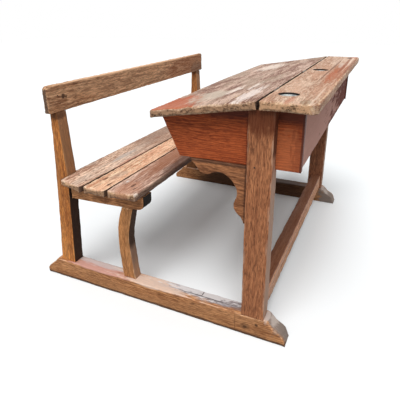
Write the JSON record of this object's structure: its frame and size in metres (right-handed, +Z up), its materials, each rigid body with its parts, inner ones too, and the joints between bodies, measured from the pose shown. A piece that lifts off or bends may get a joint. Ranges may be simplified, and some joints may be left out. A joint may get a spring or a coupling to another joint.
{
  "type": "school desk with bench",
  "caption": "Shared school desk: hinged sloping lid over a book box, inkwells and pen groove, on floor runners that also carry a slatted bench with a back rail.",
  "frame": {"origin": "centre of the overall box, on the floor", "axes": "+X along the desk to the pupils' right, +Y from the bench towards the desk, +Z up"},
  "size_m": [1.194, 0.9885, 0.76],
  "materials": {
    "oak": "old waxed oak, worn on its edges",
    "worn_oak": "bare, weathered oak boards",
    "red_pine": "red-stained pine, thin old polish",
    "plain_pine": "unfinished pine, inside faces",
    "glazed_ware": "off-white glazed earthenware",
    "dark_iron": "rusty dark iron",
    "hinge_steel": "dull tarnished steel"
  },
  "bodies": {
    "frame": {"runner_right": "oak", "runner_left": "oak", "back_post_right": "oak", "back_post_left": "oak", "backrest_rail": "oak", "seat_bearer_right": "oak", "seat_bearer_left": "oak", "seat_leg_right": "oak", "seat_leg_left": "oak", "desk_post_right": "oak", "desk_post_left": "oak", "foot_stretcher": "oak", "desk_bracket_right": "oak", "desk_bracket_left": "oak", "seat_slat_rear": "worn_oak", "seat_slat_middle": "worn_oak", "seat_slat_front": "worn_oak", "inkwell_strip": "worn_oak", "runner_peg_right_1": "worn_oak", "runner_peg_right_2": "worn_oak", "runner_peg_right_3": "worn_oak", "runner_peg_right_4": "worn_oak", "runner_peg_right_5": "worn_oak", "runner_peg_right_6": "worn_oak", "runner_peg_left_1": "worn_oak", "runner_peg_left_2": "worn_oak", "runner_peg_left_3": "worn_oak", "runner_peg_left_4": "worn_oak", "runner_peg_left_5": "worn_oak", "runner_peg_left_6": "worn_oak", "box_side_right": "red_pine", "box_side_left": "red_pine", "box_front_board": "red_pine", "box_back_board": "red_pine", "box_floor_board": "plain_pine", "inkwell_cup_right": "glazed_ware", "inkwell_cup_left": "glazed_ware", "rail_nail_1": "dark_iron", "rail_nail_2": "dark_iron", "rail_nail_3": "dark_iron", "rail_nail_4": "dark_iron", "post_nail_right_1": "dark_iron", "post_nail_left_1": "dark_iron", "strip_nail_1": "dark_iron", "strip_nail_2": "dark_iron", "hinge_strip_leaf_a": "hinge_steel", "hinge_pin_a": "hinge_steel", "hinge_strip_leaf_b": "hinge_steel", "hinge_pin_b": "hinge_steel", "hinge_strip_leaf_c": "hinge_steel", "hinge_pin_c": "hinge_steel"},
    "lid": {"lid_board_front": "worn_oak", "lid_board_rear": "worn_oak", "lid_batten_a": "plain_pine", "lid_batten_b": "plain_pine", "lid_batten_c": "plain_pine", "hinge_lid_leaf_a": "hinge_steel", "hinge_lid_leaf_b": "hinge_steel", "hinge_lid_leaf_c": "hinge_steel"}
  },
  "joints": [
    {"name": "lid_hinge", "type": "hinge", "parent": "frame", "child": "lid", "pos_m": [0, 0.3455, 0.7575], "axis": [-1, 0, 0], "range_deg": [0, 105]}
  ]
}
